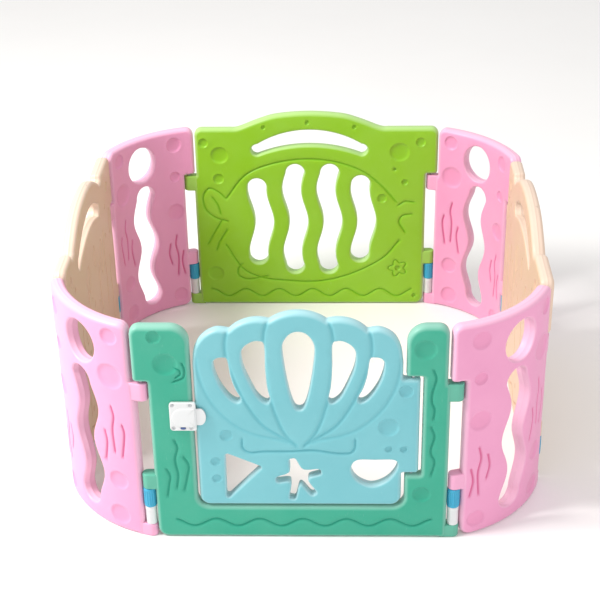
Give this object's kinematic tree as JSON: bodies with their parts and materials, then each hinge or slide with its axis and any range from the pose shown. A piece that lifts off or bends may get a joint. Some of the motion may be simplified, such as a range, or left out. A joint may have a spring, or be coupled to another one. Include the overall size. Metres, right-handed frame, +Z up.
{
  "type": "playpen",
  "caption": "Child's playpen of blow-moulded flat and curved panels pinned in a closed ring, with a latched shell-shaped gate door, grip slots and wavy openings.",
  "frame": {"origin": "on the floor at the centre of the ring", "axes": "+Z up, the gate faces -Y, +X to the right of someone who faces the gate from outside"},
  "size_m": [1.2288, 1.2374, 0.653],
  "materials": {
    "sea_green_plastic": "satin blow-moulded polyethylene",
    "sky_blue_plastic": "satin blow-moulded polyethylene",
    "lime_plastic": "satin blow-moulded polyethylene",
    "pink_plastic": "satin blow-moulded polyethylene",
    "beige_plastic": "satin blow-moulded polyethylene",
    "white_plastic": "smooth injection-moulded",
    "ring_blue": "smooth injection-moulded",
    "button_blue": "smooth injection-moulded",
    "steel": "bright steel"
  },
  "bodies": {
    "gate": {"gate_frame": "sea_green_plastic", "door_pin_lower": "steel", "door_pin_upper": "steel", "latch_plate": "white_plastic", "latch_screws": "steel", "latch_button_spring": "steel", "sleeve_gate_right": "white_plastic", "lower_pin_gate_left": "steel", "upper_pin_gate_left": "steel"},
    "front_right_corner": {"corner_front_right": "pink_plastic", "lower_pin_gate_right": "steel", "upper_pin_gate_right": "steel", "sleeve_right_left": "white_plastic"},
    "right_side": {"right_panel": "beige_plastic", "lower_pin_right_left": "steel", "upper_pin_right_left": "steel", "sleeve_right_right": "white_plastic"},
    "back_right_corner": {"corner_back_right": "pink_plastic", "lower_pin_right_right": "steel", "upper_pin_right_right": "steel", "sleeve_back_left": "white_plastic"},
    "back": {"back_panel": "lime_plastic", "lower_pin_back_left": "steel", "upper_pin_back_left": "steel", "sleeve_back_right": "white_plastic"},
    "back_left_corner": {"corner_back_left": "pink_plastic", "lower_pin_back_right": "steel", "upper_pin_back_right": "steel", "sleeve_left_left": "white_plastic"},
    "left_side": {"left_panel": "beige_plastic", "lower_pin_left_left": "steel", "upper_pin_left_left": "steel", "sleeve_left_right": "white_plastic"},
    "front_left_corner": {"corner_front_left": "pink_plastic", "sleeve_gate_left": "white_plastic", "lower_pin_left_right": "steel", "upper_pin_left_right": "steel"},
    "door": {"gate_door": "sky_blue_plastic"},
    "latch_bolt": {"latch_bolt": "white_plastic"},
    "latch_button": {"latch_button": "button_blue"},
    "lock_ring_gate_right": {"lock_ring_gate_right": "ring_blue"},
    "lock_ring_gate_left": {"lock_ring_gate_left": "ring_blue"},
    "lock_ring_right_left": {"lock_ring_right_left": "ring_blue"},
    "lock_ring_right_right": {"lock_ring_right_right": "ring_blue"},
    "lock_ring_back_left": {"lock_ring_back_left": "ring_blue"},
    "lock_ring_back_right": {"lock_ring_back_right": "ring_blue"},
    "lock_ring_left_left": {"lock_ring_left_left": "ring_blue"},
    "lock_ring_left_right": {"lock_ring_left_right": "ring_blue"}
  },
  "joints": [
    {"name": "ring_squeeze", "type": "hinge", "parent": "gate", "child": "front_right_corner", "pos_m": [0.372, -0.596, 0.3], "axis": [0, 0, 1], "range_deg": [-10, 10]},
    {"name": "right_front_seam", "type": "hinge", "parent": "front_right_corner", "child": "right_side", "pos_m": [0.596, -0.372, 0.3], "axis": [0, 0, 1], "range_deg": [-10, 10]},
    {"name": "right_back_seam", "type": "hinge", "parent": "right_side", "child": "back_right_corner", "pos_m": [0.596, 0.372, 0.3], "axis": [0, 0, 1], "range_deg": [-10, 10]},
    {"name": "back_left_end_seam", "type": "hinge", "parent": "back_right_corner", "child": "back", "pos_m": [0.372, 0.596, 0.3], "axis": [0, 0, 1], "range_deg": [-10, 10]},
    {"name": "gate_left_seam", "type": "hinge", "parent": "gate", "child": "front_left_corner", "pos_m": [-0.372, -0.596, 0.3], "axis": [0, 0, 1], "range_deg": [-10, 10]},
    {"name": "left_front_seam", "type": "hinge", "parent": "front_left_corner", "child": "left_side", "pos_m": [-0.596, -0.372, 0.3], "axis": [0, 0, 1], "range_deg": [-10, 10]},
    {"name": "left_back_seam", "type": "hinge", "parent": "left_side", "child": "back_left_corner", "pos_m": [-0.596, 0.372, 0.3], "axis": [0, 0, 1], "range_deg": [-10, 10]},
    {"name": "turn_lock_ring_gate_right", "type": "hinge", "parent": "gate", "child": "lock_ring_gate_right", "pos_m": [0.372, -0.596, 0.115], "axis": [0, 0, 1], "range_deg": [0, 90]},
    {"name": "turn_lock_ring_gate_left", "type": "hinge", "parent": "front_left_corner", "child": "lock_ring_gate_left", "pos_m": [-0.372, -0.596, 0.115], "axis": [0, 0, 1], "range_deg": [0, 90]},
    {"name": "turn_lock_ring_right_left", "type": "hinge", "parent": "front_right_corner", "child": "lock_ring_right_left", "pos_m": [0.596, -0.372, 0.115], "axis": [0, 0, 1], "range_deg": [0, 90]},
    {"name": "turn_lock_ring_right_right", "type": "hinge", "parent": "right_side", "child": "lock_ring_right_right", "pos_m": [0.596, 0.372, 0.115], "axis": [0, 0, 1], "range_deg": [0, 90]},
    {"name": "turn_lock_ring_back_left", "type": "hinge", "parent": "back_right_corner", "child": "lock_ring_back_left", "pos_m": [0.372, 0.596, 0.115], "axis": [0, 0, 1], "range_deg": [0, 90]},
    {"name": "turn_lock_ring_back_right", "type": "hinge", "parent": "back", "child": "lock_ring_back_right", "pos_m": [-0.372, 0.596, 0.115], "axis": [0, 0, 1], "range_deg": [0, 90]},
    {"name": "turn_lock_ring_left_left", "type": "hinge", "parent": "back_left_corner", "child": "lock_ring_left_left", "pos_m": [-0.596, 0.372, 0.115], "axis": [0, 0, 1], "range_deg": [0, 90]},
    {"name": "turn_lock_ring_left_right", "type": "hinge", "parent": "left_side", "child": "lock_ring_left_right", "pos_m": [-0.596, -0.372, 0.115], "axis": [0, 0, 1], "range_deg": [0, 90]},
    {"name": "door_hinge", "type": "hinge", "parent": "gate", "child": "door", "pos_m": [0.267, -0.596, 0.325], "axis": [0, 0, -1], "range_deg": [0, 90]},
    {"name": "latch_slide", "type": "slide", "parent": "gate", "child": "latch_bolt", "axis": [-1, 0, 0], "range_m": [0, 0.026]},
    {"name": "button_press", "type": "slide", "parent": "gate", "child": "latch_button", "axis": [0, 1, 0], "range_m": [0, 0.002], "stiffness_N_per_m": 300, "deforming": ["latch_button_spring"]}
  ],
  "couplings": [
    {"joint": "right_front_seam", "follows": "ring_squeeze", "ratio": -1},
    {"joint": "right_back_seam", "follows": "ring_squeeze", "ratio": -1},
    {"joint": "back_left_end_seam", "follows": "ring_squeeze", "ratio": 1},
    {"joint": "gate_left_seam", "follows": "ring_squeeze", "ratio": -1},
    {"joint": "left_front_seam", "follows": "ring_squeeze", "ratio": 1},
    {"joint": "left_back_seam", "follows": "ring_squeeze", "ratio": 1}
  ]
}
